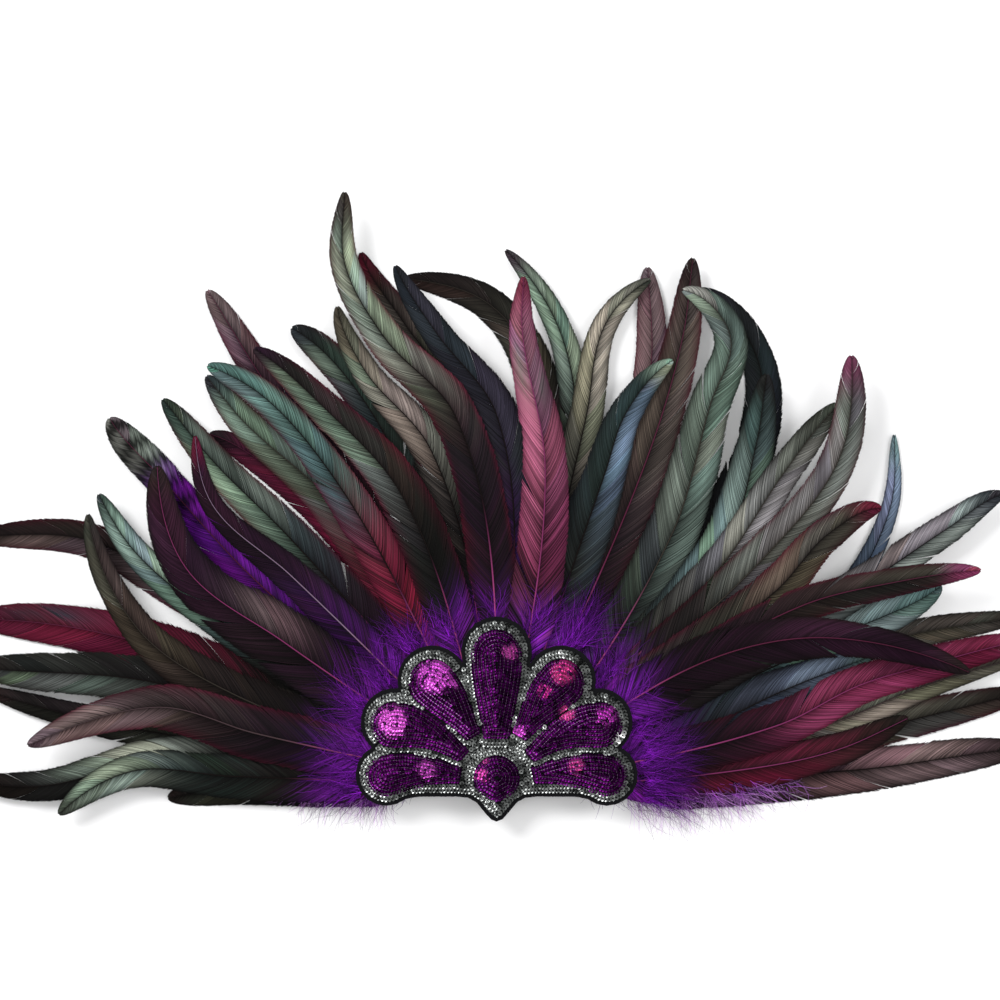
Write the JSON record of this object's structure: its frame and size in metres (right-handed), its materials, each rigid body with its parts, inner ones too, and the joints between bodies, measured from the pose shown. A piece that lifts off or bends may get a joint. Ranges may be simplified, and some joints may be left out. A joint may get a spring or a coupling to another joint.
{
  "type": "feather headdress",
  "caption": "Carnival headdress: a wide fan of dyed, iridescent coque feathers set behind a sequinned palmette on black felt.",
  "frame": {"origin": "fan centre, on the flat back face of the backing pad, where the quills meet", "axes": "+Z out of the front, away from the flat back; +Y along the middle of the fan; +X along the fan's width, to the right seen from the front"},
  "size_m": [0.6383, 0.3774, 0.0274],
  "materials": {
    "feather": "iridescent satin",
    "felt": "matte",
    "silver_sequins": "metallic",
    "purple_sequins": "metallic"
  },
  "bodies": {
    "root": {"applique_felt": "felt", "back_pad": "felt", "feather_left_01": "feather", "feather_left_02": "feather", "feather_left_03": "feather", "feather_left_04": "feather", "feather_left_05": "feather", "feather_left_06": "feather", "feather_left_07": "feather", "feather_left_08": "feather", "feather_left_09": "feather", "feather_left_10": "feather", "feather_left_11": "feather", "feather_left_12": "feather", "feather_left_13": "feather", "feather_left_14": "feather", "feather_left_15": "feather", "feather_left_16": "feather", "feather_left_17": "feather", "feather_left_18": "feather", "feather_left_19": "feather", "feather_left_20": "feather", "feather_left_21": "feather", "feather_left_22": "feather", "feather_left_23": "feather", "feather_left_24": "feather", "feather_left_25": "feather", "feather_mid_01": "feather", "feather_mid_02": "feather", "feather_mid_03": "feather", "feather_mid_04": "feather", "feather_mid_05": "feather", "feather_mid_06": "feather", "feather_mid_07": "feather", "feather_mid_08": "feather", "feather_mid_09": "feather", "feather_mid_10": "feather", "feather_right_01": "feather", "feather_right_02": "feather", "feather_right_03": "feather", "feather_right_04": "feather", "feather_right_05": "feather", "feather_right_06": "feather", "feather_right_07": "feather", "feather_right_08": "feather", "feather_right_09": "feather", "feather_right_10": "feather", "feather_right_11": "feather", "feather_right_12": "feather", "feather_right_13": "feather", "feather_right_14": "feather", "gem": "purple_sequins", "petal_low_left": "purple_sequins", "petal_low_right": "purple_sequins", "petal_mid_left": "purple_sequins", "petal_mid_right": "purple_sequins", "petal_top": "purple_sequins", "petal_upper_left": "purple_sequins", "petal_upper_right": "purple_sequins", "silver_trim": "silver_sequins"}
  },
  "joints": []
}
